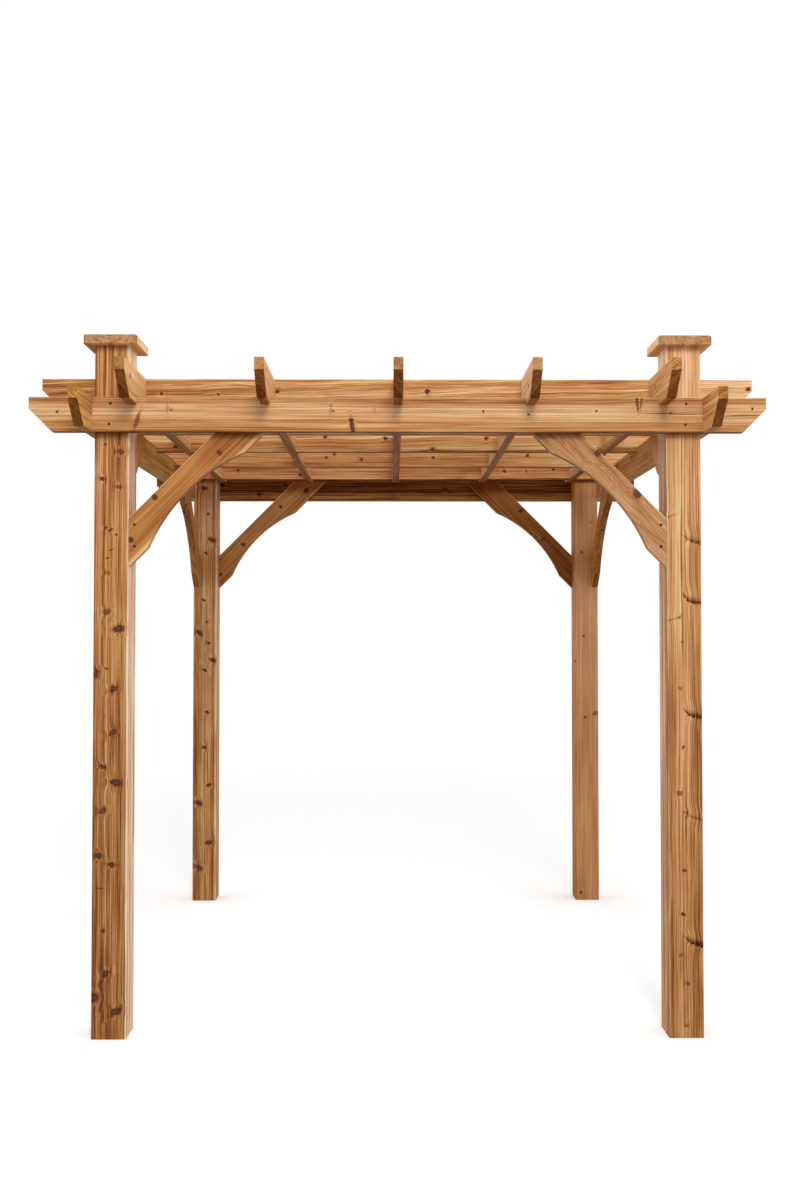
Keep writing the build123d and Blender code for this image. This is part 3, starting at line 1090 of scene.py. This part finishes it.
CROSS_BOARDS = tuple(
    Timber(f"cross_board_{number}", Lie.ALONG_X, pith=pith, bands=bands, knots=knots, run=run, stain=stain,
           lean=(lean, 0.0), figure=figure, wander=wander)
    for number, (pith, figure, wander, lean, stain, run, bands, knots) in enumerate((
        ((-240, -180), 1.1, 13.0, 1.4, "#FFFCF0",
         ((-1300, -0.16), (-500, -0.03), (200, 0.09), (900, -0.03), (1300, 0.22)),
         ((-72, 0.52), (0, 0.52), (8, 0.7), (20, 0.68), (28, 0.5), (50, 0.52), (72, 0.58)),
         ((-985, 8, 6), (-748, 5, 6), (-503, 18, 8), (123, 19, 11), (1465, 30, 10))),
        ((-200, -200), 0.8, 7.0, 0.0, WHITE, (), ((-80, 0.5), (80, 0.5)),
         ((-800, 10, 8), (-100, -20, 9), (620, 10, 7), (1200, -10, 8))),
        # from this board on, the first band, (-72, 0.2), paints a dark line along the bottom edge: painted
        # shade between the boards
        ((-200, -180), 0.9, 10.0, 1.2, "#FFFAF0",
         ((-1100, -0.13), (-600, 0.0), (400, 0.02), (900, 0.17)),
         ((-72, 0.2), (-66, 0.5), (-20, 0.48), (-4, 0.58), (6, 0.74), (30, 0.72), (50, 0.52), (72, 0.52)),
         ((-1129, -43, 10), (-365, 9, 10), (-58, 0, 10), (182, -55, 10), (458, 1, 10))),
        ((-220, -170), 0.9, 10.0, 0.0, "#FFFAF0",
         ((-200, 0.03), (400, -0.04), (1100, 0.2)),
         ((-72, 0.2), (-66, 0.5), (0, 0.5), (10, 0.57), (72, 0.53)),
         ((-390, -18, 8), (-345, 0, 8), (-195, -29, 9), (206, -17, 9), (731, -5, 9))),
        ((-200, -190), 0.9, 10.0, 0.0, "#FFF4EC",
         ((-1000, -0.04), (-150, 0.07), (400, -0.11), (700, 0.06), (1000, 0.0)),
         ((-72, 0.2), (-66, 0.58), (-40, 0.56), (-25, 0.46), (72, 0.48)),
         ((-952, -18, 10), (-577, -42, 10), (656, -20, 11), (789, -20, 8), (952, -9, 10))),
    ), 1))

RAFTERS = tuple(
    Timber(f"rafter_{number}", Lie.ALONG_Y, pith=(across, -through * show), show=show, knots=knots,
           # the two lowest tones make each rafter darker along its bottom edge and underside: painted shade
           # under the roof
           bands=tuple(zip((-80, -66, -60, 72), tones)), figure=0.8, stain=stain, bevel_grain_and_shade=bevel,
           tip_stain=tip)
    for number, (show, across, through, tones, stain, bevel, tip, knots) in enumerate((
        (1, -200, 180, (0.42, 0.44, 0.7, 0.78), "#FFF8E4", "#A88460", "#BAA888",
         ((-1380, 20, 9), (-600, 10, 10), (500, -20, 9))),
        (1, -210, 180, (0.38, 0.4, 0.71, 0.77), "#FFF8E6", "#A88460", "#D4BEA8",
         ((-900, 30, 8), (-200, 10, 10), (800, -10, 9))),
        (1, -200, 170, (0.4, 0.42, 0.56, 0.58), WHITE, "#B28C66", "#CFC2A8",
         ((-600, -30, 10), (300, 20, 9), (1100, 10, 9))),
        (-1, -220, 180, (0.42, 0.44, 0.72, 0.78), "#FFFCF8", "#B08C6C", "#CFC2A8",
         ((-1350, -10, 8), (-400, 20, 10), (600, 0, 9))),
        (-1, -200, 180, (0.4, 0.42, 0.58, 0.62), "#FFFAEC", "#C49C74", "#DCD0B2",
         ((-1200, 15, 7), (-300, 20, 10), (700, 0, 9))),
    ), 1))

BRACES = tuple(
    Timber(f"brace_{name}", lie, pith=(pith, -110 * show), lean=(0.0, lean), show=show, figure=figure,
           bands=((0, tone + edge), (12, tone + edge), (20, tone), (60, tone + 0.02), (160, tone)),
           run=run, knots=knots, stain=stain, bevel_grain_and_shade="#FFFFFF", tip_stain="#FFFFFF", wear_and_highlight=0.8)
    for name, lie, tone, edge, show, pith, lean, figure, stain, run, knots in (
        ("front_left", Lie.RISING_RIGHT, 0.38, 0.34, 1, -190, 0.0, 0.36, "#FFF8E8",
         ((-250, -0.03), (0, 0.06), (230, -0.09)),
         ((-187, 128, 10), (-378, 72, 11), (123, 69, 8))),
        ("front_right", Lie.RISING_LEFT, 0.53, 0.0, -1, 60, 1.5, 0.5, "#F0F4FF",
         ((-300, 0.02), (300, -0.08)),
         ((-166, 126, 18, 0.9), (62, 130, 12), (-20, 80, 26, 0.0))),
        ("rear_left", Lie.RISING_RIGHT, 0.46, 0.0, 1, -190, 0.0, 0.6, "#FFF8E6",
         ((-300, -0.06), (50, 0.09), (450, -0.03)),
         ((341, 46, 14), (158, 89, 9), (-168, 84, 10), (-398, 53, 10))),
        ("rear_right", Lie.RISING_LEFT, 0.26, 0.0, -1, -190, 0.0, 0.5, "#FFF8D8",
         ((-300, -0.03), (-60, 0.03), (350, -0.01)),
         ((98, 118, 10), (-124, 87, 9))),
        ("left_front", Lie.RISING_REAR, 0.61, 0.0, 1, -190, 0.0, 0.6, "#FFECBC", (), ((0, 100, 10),)),
        ("left_rear", Lie.RISING_FRONT, 0.41, 0.0, -1, -190, 0.0, 0.6, "#FFF4DC", (), ((100, 100, 10),)),
        ("right_front", Lie.RISING_REAR, 0.73, 0.0, -1, -190, 0.0, 0.6, "#FFF6E4", (), ((50, 100, 10),)),
        ("right_rear", Lie.RISING_FRONT, 0.38, 0.0, 1, -190, 0.0, 0.6, "#FFF6DC", (), ((-50, 100, 10),)),
    ))


def main() -> None:
    """Builds the studio, dresses every board and adds the screws."""
    logging.basicConfig(level=logging.INFO, format="%(name)s: %(message)s")
    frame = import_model()
    Studio().build()
    mill = Sawmill(Cedar(), frame["nodes"])
    beams, braces = Beams(BEAMS), Braces(BRACES)
    number = 1
    for part in (Posts(POSTS + CAPS), beams, Lattice(CROSS_BOARDS + RAFTERS), braces):
        number = part.dress(mill, number)
    screw, coat = DeckScrew(), CoatedSteel().material()
    screw.set_row("beam_screws", beams.screw_places(), coat, "beams")
    screw.set_row("brace_screws", braces.screw_places(), coat, "braces")


if __name__ == "__main__":
    main()
